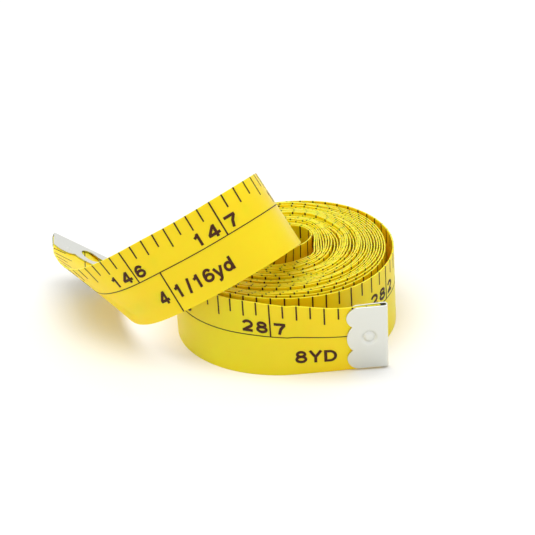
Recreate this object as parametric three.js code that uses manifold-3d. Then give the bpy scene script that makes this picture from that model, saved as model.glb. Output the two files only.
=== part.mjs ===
// Cloth tape measure: a vinyl-coated ribbon wound in a flat roll, with a folded metal clip on each end.
// The roll lies on its edge with its axis upright. Lengths are millimetres and +Z is up.
// The outer end stands free in front of the roll. The inner end climbs out of the hole in the middle,
// bends over the front of the rim and curls back beside the roll.
import * as THREE from 'three';
import { mergeVertices } from 'three/addons/utils/BufferGeometryUtils.js';
import Module from 'manifold-3d';

// Tape
const tapeWidth = 19.05;
const tapeThickness = 0.3;

// Roll: the outer turn is round about the origin, and the hole sits off its centre
const rollRadius = 26.2;
const holeRadius = 10.6;
const holeCentre = new THREE.Vector2(-1.8, 2.0);
const innerTurnAngle = THREE.MathUtils.degToRad(30);
const outerTurnAngle = THREE.MathUtils.degToRad(232);
const coilGap = 0.43;
const mostLoops = 24;

// Space between pieces that touch in the real object
const clearance = 0.3;

// Outer end: it follows the roll to the leaving angle and then runs straight, leaning out at the top
const tailLeaveAngle = THREE.MathUtils.degToRad(273.5);
const tailStraight = 18.5;
const tailLean = THREE.MathUtils.degToRad(13);

// End clips
const clipLength = 10;
const clipSheet = 0.35;
const clipEdgeInset = 0.3;
const clipHollow = 2.6;
const lobeCount = 3;
const lobeDepth = 1.3;
const stakeRingRadius = 1.3;
const stakeRingBead = 0.45;
const stakeRingDepth = 0.14;
const backHoleRadius = 2.2;
const backHoleSetback = 2.9;
const backDimpleRadius = 1.1;
const backDimpleDepth = 0.16;
const backDimpleOffset = 5.6;

// Flat tape between a clip's mouth and the first bend
const clipEase = 1;

// Inner end: the way its flat tip runs, then its yard edge from the tip round to the hole.
// Each point has the way from the yard edge up to the inch edge.
const tipHeading = new THREE.Vector3(0.07, -0.99, 0.1).normalize();
const tipRoute = [
  { foot: [-39.7, 17.2, 3.8], rise: [-0.84, 0.0, 0.54] },
  { foot: [-39.5, 8.6, 3.3], rise: [-0.76, 0.0, 0.65] },
  { foot: [-38.7, 2.4, 3.5], rise: [-0.7, -0.01, 0.71] },
  { foot: [-36.8, -3.7, 4.5], rise: [-0.66, 0.01, 0.75] },
  { foot: [-34.7, -9.4, 6.5], rise: [-0.6, 0.06, 0.8] },
  { foot: [-31.7, -14.4, 9.1], rise: [-0.55, 0.13, 0.83] },
  { foot: [-27.9, -18.5, 12.3], rise: [-0.5, 0.2, 0.84] },
  { foot: [-23.4, -21.4, 15.7], rise: [-0.46, 0.28, 0.84] },
  { foot: [-18.1, -23.1, 19.1], rise: [-0.45, 0.31, 0.84] },
  { foot: [-12.7, -24.2, 22.5], rise: [-0.45, 0.31, 0.84] },
  { foot: [-7.2, -24.6, 25.8], rise: [-0.45, 0.32, 0.83] },
  { foot: [-1.8, -22.7, 28.0], rise: [-0.46, 0.35, 0.82] },
  { foot: [2.4, -18.1, 28.3], rise: [-0.48, 0.36, 0.8] },
  { foot: [3.9, -12.2, 26.4], rise: [-0.49, 0.36, 0.79] },
  { foot: [4.1, -6.3, 23.6], rise: [-0.49, 0.36, 0.79] },
  { foot: [4.0, -0.5, 20.8], rise: [-0.51, 0.32, 0.8] },
];

// Hidden curl inside the hole: angle about the hole, distance in from its wall, height of the yard edge
const curlRoute = [
  { angle: 33, inset: 4.7, height: 17.2, rise: [-0.53, 0.22, 0.82] },
  { angle: 73, inset: 4.2, height: 13.8, rise: [-0.42, 0.12, 0.9] },
  { angle: 112, inset: 4.0, height: 10.7, rise: [-0.28, 0.06, 0.96] },
  { angle: 155, inset: 4.2, height: 7.8, rise: [-0.15, 0.02, 0.99] },
  { angle: 197, inset: 4.0, height: 5.2, rise: [-0.06, 0.0, 1.0] },
  { angle: 238, inset: 3.6, height: 2.9, rise: [0.0, 0.0, 1.0] },
  { angle: 281, inset: 4.2, height: 1.1, rise: [0.0, 0.0, 1.0] },
  { angle: 342, inset: 5.0, height: 0.3, rise: [0.0, 0.0, 1.0] },
  { angle: 368, inset: 2.2, height: 0.12, rise: [0.0, 0.0, 1.0] },
  { angle: 381, inset: 0.4, height: 0.05, rise: [0.0, 0.0, 1.0] },
];

// Fineness of the faceted curves
const stepsPerLoop = 36;
const stepsPerRoutePoint = 4;
const tailArcSteps = 8;
const tailStraightSteps = 4;
const foldSegments = 10;
const lobeSegments = 12;
const roundSegments = 28;
const beadSegments = 10;
const weldDistance = 1e-5;

const up = new THREE.Vector3(0, 0, 1);

const tapeMaterial = new THREE.MeshStandardMaterial({ color: '#f2d81c', roughness: 0.45, metalness: 0 });
const clipMaterial = new THREE.MeshStandardMaterial({ color: '#d9dad5', roughness: 0.35, metalness: 0.9 });

// A ribbon's station: its yard edge, the line across to its inch edge, and the way its printed face looks.
// Where the tape climbs, the line across stays on the bend's axis and is longer than the tape is wide.
function station(foot, rise, ahead) {
  const face = new THREE.Vector3().crossVectors(ahead, rise);
  const across = rise.clone().multiplyScalar(tapeWidth / face.length());
  return { foot, across, rise, face: face.normalize() };
}

// Closed ribbon through stations, four corners at each
function ribbonGeometry(stations) {
  const corners = [];
  for (const { foot, across, face } of stations) {
    const top = foot.clone().add(across);
    const half = face.clone().multiplyScalar(tapeThickness / 2);
    corners.push(foot.clone().add(half), top.clone().add(half));
    corners.push(top.clone().sub(half), foot.clone().sub(half));
  }
  const triangles = [];
  const quad = (a, b, c, d) => triangles.push(a, b, c, a, c, d);
  for (let i = 0; i < stations.length - 1; i += 1) {
    const here = i * 4;
    const next = here + 4;
    for (let side = 0; side < 4; side += 1) {
      const other = (side + 1) % 4;
      quad(here + side, next + side, next + other, here + other);
    }
  }
  const last = (stations.length - 1) * 4;
  quad(0, 1, 2, 3);
  quad(last + 3, last + 2, last + 1, last);
  const geometry = new THREE.BufferGeometry().setFromPoints(corners);
  geometry.setIndex(triangles);
  const faceted = geometry.toNonIndexed();
  faceted.computeVertexNormals();
  return faceted;
}

// Turns of the roll: centre and radius both run from the hole's circle to the outer circle
const rollMiddle = rollRadius - tapeThickness / 2;
const holeMiddle = holeRadius + tapeThickness / 2;

function countLoops() {
  const thinnestWall = rollMiddle - holeMiddle - holeCentre.length();
  const partLoop = ((outerTurnAngle - innerTurnAngle) / (2 * Math.PI)) % 1;
  const room = thinnestWall / (tapeThickness + coilGap);
  return Math.floor(Math.min(mostLoops, room) - partLoop) + partLoop;
}

const loops = countLoops();

function rollStation(turned) {
  const share = turned / loops;
  const angle = innerTurnAngle + turned * 2 * Math.PI;
  const outward = new THREE.Vector3(Math.cos(angle), Math.sin(angle), 0);
  const radius = THREE.MathUtils.lerp(holeMiddle, rollMiddle, share);
  const foot = outward.clone().multiplyScalar(radius);
  foot.x += holeCentre.x * (1 - share);
  foot.y += holeCentre.y * (1 - share);
  return station(foot, up.clone(), new THREE.Vector3().crossVectors(up, outward));
}

function rollStations() {
  const steps = Math.round(loops * stepsPerLoop);
  const stations = [];
  for (let i = 0; i <= steps; i += 1) {
    stations.push(rollStation((i / steps) * loops));
  }
  return stations;
}

// Least gap between faces of turns that lie next to each other, point to segment
function leastRollGap(stations) {
  const outside = stations.map((s) => s.foot.clone().addScaledVector(s.face, tapeThickness / 2));
  const inside = stations.map((s) => s.foot.clone().addScaledVector(s.face, -tapeThickness / 2));
  const nearest = new THREE.Vector3();
  const segment = new THREE.Line3();
  let least = Infinity;
  for (let i = 0; i < inside.length; i += 1) {
    for (let j = 0; j < i - stepsPerLoop / 2; j += 1) {
      segment.set(outside[j], outside[j + 1]);
      segment.closestPointToPoint(inside[i], true, nearest);
      least = Math.min(least, nearest.distanceTo(inside[i]));
    }
  }
  return least;
}

const clipFlat = clipLength - clipHollow + clipEase;

// Outer end: an arc that carries on from the roll, then a straight stretch with its clip
function tailStations() {
  const arcStart = outerTurnAngle + clearance / rollMiddle;
  const arcLength = (tailLeaveAngle - arcStart) * rollMiddle;
  const leanLength = arcLength + tailStraight - clipFlat;
  const stand = (along) => {
    const angle = Math.min(arcStart + along / rollMiddle, tailLeaveAngle);
    const outward = new THREE.Vector3(Math.cos(angle), Math.sin(angle), 0);
    const ahead = new THREE.Vector3().crossVectors(up, outward);
    const lean = tailLean * THREE.MathUtils.smoothstep(along, 0, leanLength);
    const rise = up.clone().multiplyScalar(Math.cos(lean)).addScaledVector(outward, Math.sin(lean));
    const foot = outward.clone().multiplyScalar(rollMiddle);
    foot.addScaledVector(ahead, Math.max(0, along - arcLength));
    foot.z = (tapeThickness / 2) * Math.sin(lean);
    return station(foot, rise, ahead);
  };
  const stations = [];
  for (let i = 0; i <= tailArcSteps; i += 1) {
    stations.push(stand((arcLength * i) / tailArcSteps));
  }
  for (let i = 1; i <= tailStraightSteps; i += 1) {
    stations.push(stand(THREE.MathUtils.lerp(arcLength, leanLength, i / tailStraightSteps)));
  }
  stations.push(stand(leanLength + clipFlat));
  return stations;
}

function squareTo(ahead, rise) {
  return rise.clone().addScaledVector(ahead, -rise.dot(ahead)).normalize();
}

// Inner end: a smooth curve through the route's points, with the clip's stretch left flat
function innerEndStations() {
  const route = tipRoute.map(({ foot, rise }) => ({
    foot: new THREE.Vector3(...foot),
    rise: new THREE.Vector3(...rise),
  }));
  const tipRise = squareTo(tipHeading, route[0].rise);
  const tip = route[0].foot.clone().addScaledVector(tipHeading, -clipFlat);
  route.unshift({ foot: tip, rise: tipRise });
  for (const { angle, inset, height, rise } of curlRoute) {
    const reach = holeRadius - inset;
    const turn = THREE.MathUtils.degToRad(angle);
    const foot = new THREE.Vector3(Math.cos(turn) * reach, Math.sin(turn) * reach, height);
    foot.x += holeCentre.x;
    foot.y += holeCentre.y;
    route.push({ foot, rise: new THREE.Vector3(...rise) });
  }
  const joint = rollStation(0);
  const beyond = rollStation(1 / stepsPerLoop);
  const inward = joint.foot.clone().sub(beyond.foot).normalize();
  route.push({ foot: joint.foot.clone().addScaledVector(inward, clearance), rise: up.clone() });
  route.push({ foot: beyond.foot, rise: up.clone() });

  const footCurve = new THREE.CatmullRomCurve3(route.map((point) => point.foot));
  const riseCurve = new THREE.CatmullRomCurve3(route.map((point) => point.rise));
  const spans = route.length - 1;
  const steps = (spans - 2) * stepsPerRoutePoint;
  const stations = [];
  for (let i = 0; i <= steps; i += 1) {
    const t = (1 + i / stepsPerRoutePoint) / spans;
    const rise = riseCurve.getPoint(t).normalize();
    stations.push(station(footCurve.getPoint(t), rise, footCurve.getTangent(t)));
  }
  stations[0] = station(stations[0].foot, tipRise, tipHeading);
  stations.unshift(station(tip, tipRise, tipHeading));
  return stations;
}

// Least gap of the inner end to its own stretches further on, on points across its width
function leastStretchGap(stations) {
  const pointsAcross = 5;
  const apart = 5 * stepsPerRoutePoint;
  const pointsOf = (s) => {
    const points = [];
    for (let i = 0; i < pointsAcross; i += 1) {
      points.push(s.foot.clone().addScaledVector(s.across, i / (pointsAcross - 1)));
    }
    return points;
  };
  const rows = stations.map(pointsOf);
  let least = Infinity;
  for (let i = 0; i < rows.length; i += 1) {
    for (let j = i + apart; j < rows.length; j += 1) {
      for (const a of rows[i]) {
        for (const b of rows[j]) {
          least = Math.min(least, a.distanceTo(b) - tapeThickness);
        }
      }
    }
  }
  return least;
}

// One end clip in its own axes: X out past the tape's end, Y across the tape, Z out of the printed face
const wasm = await Module();
wasm.setup();
const { Manifold, Mesh: SolidMesh } = wasm;

function solidOf(geometry) {
  const bare = new THREE.BufferGeometry();
  bare.setAttribute('position', geometry.getAttribute('position'));
  if (geometry.index) {
    bare.setIndex(geometry.index);
  }
  const welded = mergeVertices(bare, weldDistance);
  return new Manifold(new SolidMesh({
    numProp: 3,
    vertProperties: new Float32Array(welded.getAttribute('position').array),
    triVerts: new Uint32Array(welded.index.array),
  }));
}

function geometryOf(solid) {
  const { vertProperties, triVerts } = solid.getMesh();
  const geometry = new THREE.BufferGeometry();
  geometry.setAttribute('position', new THREE.BufferAttribute(new Float32Array(vertProperties), 3));
  geometry.setIndex(new THREE.BufferAttribute(new Uint32Array(triVerts), 1));
  const faceted = geometry.toNonIndexed();
  faceted.computeVertexNormals();
  return faceted;
}

const clipWidth = tapeWidth - 2 * clipEdgeInset;
const clipInnerHalf = tapeThickness / 2 + clearance;
const clipOuterHalf = clipInnerHalf + clipSheet;
const clipMouth = clipHollow - clipLength;
const clipMiddle = clipHollow - clipLength / 2;

// The sheet folded in two, seen along the fold
function foldedSheet() {
  const foldCentre = clipHollow - clipOuterHalf;
  const outline = new THREE.Shape();
  outline.moveTo(clipMouth, -clipOuterHalf);
  outline.lineTo(foldCentre, -clipOuterHalf);
  outline.absarc(foldCentre, 0, clipOuterHalf, -Math.PI / 2, Math.PI / 2, false);
  outline.lineTo(clipMouth, clipOuterHalf);
  outline.lineTo(clipMouth, clipInnerHalf);
  outline.lineTo(foldCentre, clipInnerHalf);
  outline.absarc(foldCentre, 0, clipInnerHalf, Math.PI / 2, -Math.PI / 2, true);
  outline.lineTo(clipMouth, -clipInnerHalf);
  const sheet = new THREE.ExtrudeGeometry(outline, {
    depth: clipWidth,
    bevelEnabled: false,
    curveSegments: foldSegments,
  });
  sheet.rotateX(Math.PI / 2);
  sheet.translate(0, clipWidth / 2, 0);
  return sheet;
}

// The flat outline that both plates are blanked to, with its row of lobes
function lobedOutline() {
  const lobe = clipWidth / lobeCount;
  const lobeRadius = (lobe * lobe / 4 + lobeDepth * lobeDepth) / (2 * lobeDepth);
  const arcCentre = clipMouth + lobeRadius;
  const reach = Math.asin(lobe / 2 / lobeRadius);
  const outline = new THREE.Shape();
  outline.moveTo(clipHollow + clearance, -clipWidth / 2);
  outline.lineTo(clipHollow + clearance, clipWidth / 2);
  for (let i = 0; i < lobeCount; i += 1) {
    const middle = clipWidth / 2 - lobe * (i + 0.5);
    outline.absarc(arcCentre, middle, lobeRadius, Math.PI - reach, Math.PI + reach, false);
  }
  const depth = 2 * (clipOuterHalf + clearance);
  const blank = new THREE.ExtrudeGeometry(outline, {
    depth,
    bevelEnabled: false,
    curveSegments: lobeSegments,
  });
  blank.translate(0, 0, -depth / 2);
  return blank;
}

function clipGeometry() {
  const stakeRing = new THREE.TorusGeometry(stakeRingRadius, stakeRingBead, beadSegments, roundSegments);
  stakeRing.translate(clipMiddle, 0, clipOuterHalf + stakeRingBead - stakeRingDepth);
  const drilled = clipSheet + clearance;
  const backHole = new THREE.CylinderGeometry(backHoleRadius, backHoleRadius, drilled, roundSegments);
  backHole.rotateX(Math.PI / 2);
  backHole.translate(clipMouth + lobeDepth + backHoleSetback, 0, -clipInnerHalf - clipSheet / 2);
  const backDimple = new THREE.SphereGeometry(backDimpleRadius, roundSegments, beadSegments);
  const dimpleCentre = -clipOuterHalf - backDimpleRadius + backDimpleDepth;
  backDimple.translate(clipMiddle, backDimpleOffset, dimpleCentre);
  const blanked = Manifold.intersection(solidOf(foldedSheet()), solidOf(lobedOutline()));
  const cuts = [stakeRing, backHole, backDimple].map(solidOf);
  return geometryOf(Manifold.difference([blanked, ...cuts]));
}

// A clip on an end of the tape, turned to the way that leads out past that end
function placedClip(end, out) {
  const middle = end.foot.clone().addScaledVector(end.rise, tapeWidth / 2);
  const across = new THREE.Vector3().crossVectors(end.face, out);
  const placement = new THREE.Matrix4().makeBasis(out, across, end.face).setPosition(middle);
  return clipGeometry().applyMatrix4(placement);
}

function lastWay(end, sense) {
  return new THREE.Vector3().crossVectors(end.rise, end.face).multiplyScalar(sense);
}

const roll = rollStations();
const tail = tailStations();
const inner = innerEndStations();

console.log(`loops in the roll: ${loops.toFixed(2)}`);
console.log(`least gap of the roll to itself: ${leastRollGap(roll).toFixed(3)} mm`);
console.log(`least gap of the inner end to itself: ${leastStretchGap(inner).toFixed(2)} mm`);

const group = new THREE.Group();
group.name = 'tape_measure';

function addPiece(name, geometry, material) {
  const mesh = new THREE.Mesh(geometry, material);
  mesh.name = name;
  group.add(mesh);
}

addPiece('tape_roll', ribbonGeometry(roll), tapeMaterial);
addPiece('tape_outer_end', ribbonGeometry(tail), tapeMaterial);
addPiece('tape_inner_end', ribbonGeometry(inner), tapeMaterial);
addPiece('outer_end_clip', placedClip(tail.at(-1), lastWay(tail.at(-1), 1)), clipMaterial);
addPiece('inner_end_clip', placedClip(inner[0], lastWay(inner[0], -1)), clipMaterial);

// Origin at the bottom centre of the whole
const box = new THREE.Box3().setFromObject(group);
const centre = box.getCenter(new THREE.Vector3());
for (const mesh of group.children) {
  mesh.geometry.translate(-centre.x, -centre.y, -box.min.z);
}

export default group;
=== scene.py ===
"""Cloth tape measure: the flat tape is cut, printed and then bent along its route, as the real one is."""
import math

import bmesh
import bpy
import numpy as np
from mathutils import Matrix, Vector, noise


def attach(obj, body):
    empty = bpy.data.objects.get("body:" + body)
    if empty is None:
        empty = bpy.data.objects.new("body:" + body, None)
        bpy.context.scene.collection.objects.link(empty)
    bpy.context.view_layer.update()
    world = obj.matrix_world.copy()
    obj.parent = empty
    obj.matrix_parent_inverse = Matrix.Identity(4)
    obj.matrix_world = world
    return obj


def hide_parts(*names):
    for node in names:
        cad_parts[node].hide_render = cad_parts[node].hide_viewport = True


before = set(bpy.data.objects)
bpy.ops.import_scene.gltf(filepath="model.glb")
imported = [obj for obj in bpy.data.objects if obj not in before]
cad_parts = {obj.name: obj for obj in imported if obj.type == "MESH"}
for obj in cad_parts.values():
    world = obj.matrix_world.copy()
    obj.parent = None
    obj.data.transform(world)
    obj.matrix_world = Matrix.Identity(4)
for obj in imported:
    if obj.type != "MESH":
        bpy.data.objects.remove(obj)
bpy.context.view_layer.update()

bl_info = {
    "name": "Cloth tape measure",
    "version": (1, 0, 0),
    "blender": (4, 5, 0),
    "location": "View3D > Sidebar > Tape measure",
    "description": "Builds a rolled sewing tape with its printed scale and end clips",
    "category": "Object",
}

MM = 0.001
# Inches printed on the face that looks outwards; the inner end is cut a little past the first
FIRST_INCH = 144
CUT_INCH = 144.045
LAST_INCH = 288
# Yards are printed at every sixteenth, but the front of the outer turn is bare at this one
YARD_STEP = 2.25
BARE_MARKS = (285.75,)
# Yard marks are printed on this stretch of both ends, and figures at these inches
SEEN_INCHES = 9
FIGURED_INCHES = (*range(145, 153), *range(280, 288))

# Where the print ends short of the tape's ends and edges
LINE_INSET = 0.2 * MM
YARD_LINE_INSET = 0.05 * MM
TICK_CORNER_SHARE = 0.3
# Longest piece of a pen line
PEN_STEP = 0.4 * MM
# Space between a mark and its figures, gaps between letters, and how wide letters are drawn
FIGURE_CLEAR = 0.65 * MM
FIGURE_GAP = 0.6 * MM
ONE_GAP = 1.7 * MM
WHOLE_CLEAR = 1.2 * MM
WHOLE_STRETCH = 0.8
PART_CLEAR = 0.75 * MM
PART_STRETCH = 0.86
YARD_GAP = 0.8 * MM
# The full length in words, printed before the outer end
END_INCHES = 0.4
END_RISE = 3.15 * MM
END_STRETCH = 0.88
END_GAP = 0.4 * MM

# Clip: places along it are shares of its length from the fold
CLIP_PLAY = 0.06 * MM
LOBE_INSET = 0.955
RING_PLACE = 0.46
RING_WIDENING = 1.2
RING_GROOVE = 0.36 * MM
DIMPLE_PLACE = 0.7
DIMPLE_ASIDE = 5.6 * MM
DIMPLE_DEPTH = 0.4 * MM
DIMPLE_RADIUS = 0.55 * MM
# The hole's middle from the cusps and from the clip's middle line; the drill passes the back plate only
HOLE_FROM_CUSPS = 3.2 * MM
HOLE_ASIDE = 0.7 * MM
DRILL_HEIGHT = -1.5 * MM
DRILL_DEPTH = 2.6 * MM
SOFT_EDGE = 0.06 * MM
# Points along a lobe, the middle arc, a plate and the fold
LOBE_STEPS = 37
MIDDLE_STEPS = 41
PLATE_STEPS = 45
FOLD_STEPS = 17

# The roll's axis in the frame; the routes below are millimetres from this axis
ROLL_AXIS = Vector((15.544, 1.0555, 0)) * MM
HOLE_CENTRE = (-1.8, 2.0)
ROLL_START = math.radians(44.5)
TAIL_START = math.radians(249)
TAIL_LEAVE = math.radians(273)
TURN = 2 * math.pi

# The roll isn't quite round: its far side is flatter, and the inner turns gape beside the curl
# and stand back where it joins them
FLAT_WAY = math.radians(118)
FLAT_SPREAD = math.radians(72)
GAPE_WAY = math.radians(8)
GAPE_SPREAD = math.radians(55)
GAPE_TURNS = 11
JOIN_WAY = math.radians(76)
JOIN_SPREAD = math.radians(38)
JOIN_TURNS = 7
INNER_FLAT_SHARE = 0.75
# The outermost turn stands off at the front and right, and the next one a little at the front
LAST_TURN_GAP = 0.15 * MM
LAST_TURN_START = (-1.08, -0.85)
SLACK = 0.6 * MM
SLACK_RISE = (math.radians(-130), math.radians(-80))
SLACK_FALL = (math.radians(-5), math.radians(45))
NEXT_TURN_START = (1.9, 2.1)
NEXT_SLACK = 0.25 * MM
NEXT_SLACK_WAY = math.radians(-90)
NEXT_SLACK_SPREAD = math.radians(75)
# Loose turns lie in bunches of different heights
TURN_GAP = 0.04 * MM
BUNCH_SPREAD = 0.55 * MM
BUNCH_HEIGHT = 0.8 * MM
# Noise of the bunches: its scale round the roll and from turn to turn, and where it starts
BUNCH_NOISE = (0.9, 0.31, 7.0)
HEIGHT_NOISE = (0.5, 0.4, -3.0)
RIPPLE_NOISE = (1.1, 0.9, 11.0)
# The last turn is lifted on one side
LIFT = 0.33 * MM
LIFT_WAY = math.radians(60)
LIFT_SPREAD = math.radians(110)
# Coming round, the first turn passes the slanting end of the curl over these steps
PASSING_STEPS = 8
PASSING_PITCHES = 1.1
PASSING_SLANT = 0.4 * MM
# Straight stretch at the inner clip; the outer end leans until a little way into its clip
CLIP_FLAT = 8.76 * MM
LEAN_INTO_CLIP = 1.5 * MM
CLIMB_LENGTH = 9 * MM

# Inner end, from the clip to the hole: a point on the yard edge, and the way across to the inch edge.
# From the second point on they lie a quarter inch apart on the scale.
TIP_HEADING = (0.07, -0.99, 0.1)
TIP_ROUTE = [
    ((-39.7, 17.2, 3.8), (-0.84, 0, 0.54)),
    ((-39.5, 8.6, 3.3), (-0.76, 0, 0.65)),
    ((-38.7, 2.4, 3.5), (-0.7, -0.01, 0.71)),
    ((-36.8, -3.7, 4.5), (-0.66, 0.01, 0.75)),
    ((-34.7, -9.4, 6.5), (-0.6, 0.06, 0.8)),
    ((-31.7, -14.4, 9.1), (-0.55, 0.13, 0.83)),
    ((-27.9, -18.5, 12.3), (-0.5, 0.2, 0.84)),
    ((-23.4, -21.4, 15.7), (-0.46, 0.28, 0.84)),
    ((-18.1, -23.1, 19.1), (-0.45, 0.31, 0.84)),
    ((-12.7, -24.2, 22.5), (-0.45, 0.31, 0.84)),
    ((-7.2, -24.6, 25.8), (-0.45, 0.32, 0.83)),
    ((-1.8, -22.7, 28.0), (-0.46, 0.35, 0.82)),
    ((2.4, -18.1, 28.3), (-0.48, 0.36, 0.8)),
    ((3.9, -12.2, 26.4), (-0.49, 0.36, 0.79)),
    ((4.1, -6.3, 23.6), (-0.49, 0.36, 0.79)),
    ((4.0, -0.5, 20.8), (-0.51, 0.32, 0.8)),
]
# The curl that winds down inside the hole: degrees about the hole's centre, inset from the hole's
# edge, height of the yard edge, and the way across
CURL_ROUTE = [
    (33, 4.7, 17.2, (-0.53, 0.22, 0.82)),
    (73, 4.2, 13.8, (-0.42, 0.12, 0.9)),
    (112, 4.0, 10.7, (-0.28, 0.06, 0.96)),
    (155, 4.2, 7.8, (-0.15, 0.02, 0.99)),
    (197, 4.0, 5.2, (-0.06, 0, 1)),
    (238, 3.6, 2.9, (0, 0, 1)),
    (281, 4.2, 1.1, (0, 0, 1)),
    (342, 5.0, 0.3, (0, 0, 1)),
    (368, 3.0, 0.06, (0, 0, 1)),
    (381, 1.4, 0.02, (0, 0, 1)),
]

STEPS_PER_TURN = 96
STEPS_PER_ROUTE_POINT = 24
FREE_STEPS = (len(TIP_ROUTE) + len(CURL_ROUTE) + 1) * STEPS_PER_ROUTE_POINT
TAIL_STEPS = 25
# Where across the free end its lengths are true, and the steps over which its slant is evened out
FREE_TRUE_SHARE = 0.65
DRIFT_BLUR = 16
# Behind the crossing strip the print is stretched to fit the photograph, between these steps from the end
PRINT_STRETCH = 1.9 * MM
STRETCH_STEPS = (-80, -46)
# How far the guide stands past both edges of the tape, as a share of its width
ROUTE_OVERHANG = 0.05

# Camera fitted to the printed inches of the outer turn: pixels of the photograph, radians and millimetres
PHOTO_PIXELS = 535
FOCAL_PIXELS = 2082.81
SENSOR = 36.0
CAMERA_ELEVATION = 0.48389
CAMERA_ROLL = 0.06223
CAMERA_DISTANCE = 500
AIM_ASIDE = -3.833
AIM_UP = 12.71


def in_millimetres(name, description, size):
    return bpy.props.FloatProperty(name=name, description=description, default=size * MM, unit="LENGTH")


def in_degrees(name, description, angle):
    turn = math.radians(angle)
    return bpy.props.FloatProperty(name=name, description=description, default=turn, unit="ROTATION")


def as_share(name, description, share):
    return bpy.props.FloatProperty(name=name, description=description, default=share, subtype="FACTOR")


def as_hex(name, description, colour):
    return bpy.props.StringProperty(name=name, description=description, default=colour)


class TapeSizes(bpy.types.PropertyGroup):
    """Sizes of the tape and of its roll"""

    width: in_millimetres("Width", "Width of the tape", 19.05)
    thickness: in_millimetres("Thickness", "Thickness with its coating", 0.35)
    corner: in_millimetres("Corner", "Softened corner of the cut edge", 0.04)
    roll_radius: in_millimetres("Roll radius", "Outside of the outermost turn", 26.2)
    hole_radius: in_millimetres("Hole radius", "Inside of the innermost turn", 10.6)
    whole_turns: bpy.props.IntProperty(
        name="Whole turns", description="Full turns in the roll", default=31, min=1
    )
    crowding: bpy.props.FloatProperty(
        name="Crowding", description="Above 0 the outer turns lie closer than the inner ones", default=-0.2315
    )
    flattening: in_millimetres("Flattening", "How far the far side is pushed in", 1.9)
    gape: in_millimetres("Gape", "How far the innermost turn stands off the roll", 2.1)
    join: in_millimetres("Join", "How far the roll stands back at the curl's end", 1.2)
    tail: in_millimetres("Tail", "Straight stretch at the outer end", 19.55)
    tail_lean: in_degrees("Tail lean", "Lean of the outer end at its clip", 13.5)
    tail_climb: in_degrees("Tail climb", "Slope of the outer end at its clip", 0.9)


class ScaleSizes(bpy.types.PropertyGroup):
    """Sizes of the printed scale"""

    ink: in_millimetres("Ink", "How far the ink stands off the tape", 0.03)
    tick: in_millimetres("Tick width", "Width of a tick", 0.35)
    line: in_millimetres("Line width", "Width of the long lines", 0.22)
    eighth: as_share("Eighth", "Share of the width", 0.17)
    quarter: as_share("Quarter", "Share of the width", 0.2)
    half: as_share("Half", "Share of the width", 0.25)
    centre: as_share("Centre line", "Its share of the width from the inch edge", 0.45)
    figure: in_millimetres("Inch figures", "Height of the inch figures", 3.0)
    figure_rise: in_millimetres("Figure rise", "From the centre line up to the inch figures", 0.85)
    yard_figure: in_millimetres("Yard figures", "Height of the yard figures", 3.25)
    yard_drop: in_millimetres("Yard drop", "From the centre line down to their baseline", 7.3)
    end_words: in_millimetres("End words", "Height of the full length at the outer end", 3.5)
    stroke: in_millimetres("Stroke", "Width of a figure's stroke", 0.68)


class ClipSizes(bpy.types.PropertyGroup):
    """Sizes of the folded clips on the tape's ends"""

    length: in_millimetres("Length", "From the lobes to the fold", 9.4)
    hollow: in_millimetres("Hollow", "How far the fold stands past the tape", 1.6)
    sheet: in_millimetres("Sheet", "Thickness of the metal", 0.28)
    inset: in_millimetres("Inset", "How much narrower it is than the tape, at each edge", 0.2)
    proud: in_millimetres("Proud", "How far it sits towards the inch edge", 0.25)
    fold_gap: in_millimetres("Fold gap", "Half of the gap inside the fold", 0.45)
    lobe_radius: in_millimetres("Lobe radius", "Radius of the two outer lobes", 3.25)
    lobe_depth: in_millimetres("Lobe depth", "From a lobe's crown to its cusp", 1.3)
    ring_radius: in_millimetres("Ring radius", "Pressed ring in the front plate", 1.3)
    ring_depth: in_millimetres("Ring depth", "Depth of the pressed ring", 0.4)
    hole_radius: in_millimetres("Hole radius", "Hole in the back plate", 2.5)


class FinishColours(bpy.types.PropertyGroup):
    """Colours of the finishes, as sRGB hex values"""

    vinyl: as_hex("Vinyl", "Coating of the tape", "F7DB05")
    vinyl_shade: as_hex("Vinyl shade", "Where the coating is thinner", "F3D103")
    # Partly the paler cut fibres, partly a painted highlight: it colours only the inch edge, which faces up
    # to the overhead light
    cut_edge: as_hex("Cut edge", "Cut edge of the tape", "FFE028")
    ink: as_hex("Ink", "Printed scale", "3E1E0C")
    ink_thin: as_hex("Thin ink", "Thin spots of the print", "4E2812")
    tinplate: as_hex("Tinplate", "End clips", "DCDDD7")
    floor: as_hex("Floor", "Studio floor", "F8F8F6")


def linear(colour):
    """sRGB hex to linear RGBA"""
    channels = []
    for start in (0, 2, 4):
        value = int(colour[start : start + 2], 16) / 255
        channels.append(value / 12.92 if value <= 0.04045 else ((value + 0.055) / 1.055) ** 2.4)
    return (*channels, 1.0)


def feed(node, inputs):
    """Gives a node's sockets, by name or number, a value or another node's output"""
    for key, value in inputs.items():
        if isinstance(value, bpy.types.NodeSocket):
            node.id_data.links.new(value, node.inputs[key])
        else:
            node.inputs[key].default_value = value


def add_node(tree, kind, inputs=None, **settings):
    """Adds a node with its settings, and feeds it"""
    node = tree.nodes.new(kind)
    for name, value in settings.items():
        setattr(node, name, value)
    feed(node, inputs or {})
    return node


def smoothstep(value, low, high):
    share = np.clip((value - low) / (high - low), 0, 1)
    return share * share * (3 - 2 * share)


def unit(vectors):
    return vectors / np.linalg.norm(vectors, axis=-1, keepdims=True)


def lengths_along(points):
    steps = np.linalg.norm(np.diff(points, axis=0), axis=1)
    return np.concatenate(([0], np.cumsum(steps)))


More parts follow.
